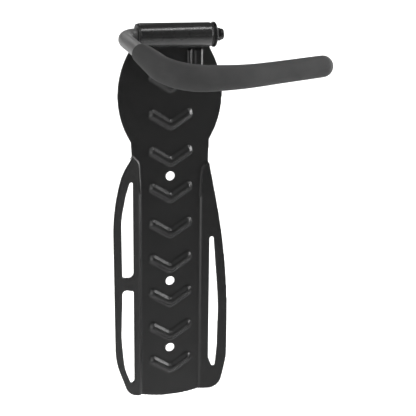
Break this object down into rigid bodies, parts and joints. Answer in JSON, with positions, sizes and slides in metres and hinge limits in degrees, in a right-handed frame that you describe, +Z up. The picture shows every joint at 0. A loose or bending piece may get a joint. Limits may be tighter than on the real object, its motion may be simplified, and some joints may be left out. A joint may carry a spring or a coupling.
{
  "type": "bicycle wall rack",
  "caption": "Wall rack for a bicycle: a pressed steel back plate with a barrel hinge carrying a bent, rubber-covered hook that swings up and down and holds the wheel.",
  "frame": {"origin": "on the wall face of the back plate, directly behind the hook's pivot axis, on the plate's centre line", "axes": "+Z up the wall, +X to the right of someone facing the rack, +Y into the wall; the hook stands out towards -Y"},
  "size_m": [0.136, 0.0942, 0.2837],
  "materials": {
    "plate_powder_coat": "fine-textured black powder coat, satin",
    "barrel_powder_coat": "black powder coat, satin",
    "weld_powder_coat": "welds under black powder coat",
    "left_bush_nylon": "matt black nylon",
    "right_bush_nylon": "matt black nylon",
    "rod_finish": "satin grey finish on bent round bar",
    "sleeve_rubber": "matt dark grey moulded rubber",
    "friction_fibre": "matt dark fibre",
    "washer_steel": "blackened steel",
    "nut_steel": "blackened steel",
    "insert_nylon": "matt black nylon"
  },
  "bodies": {
    "wall_frame": {"back_plate": "plate_powder_coat", "pivot_barrel": "barrel_powder_coat", "weld_beads": "weld_powder_coat", "left_bush": "left_bush_nylon", "right_bush": "right_bush_nylon"},
    "hook": {"hook_rod": "rod_finish", "hook_sleeve": "sleeve_rubber", "friction_washer": "friction_fibre", "flat_washer": "washer_steel", "lock_nut": "nut_steel", "nut_insert": "insert_nylon"}
  },
  "joints": [
    {"name": "hook_swivel", "type": "hinge", "parent": "wall_frame", "child": "hook", "pos_m": [0, -0.0105, 0], "axis": [1, 0, 0], "range_deg": [-105, 70]}
  ]
}
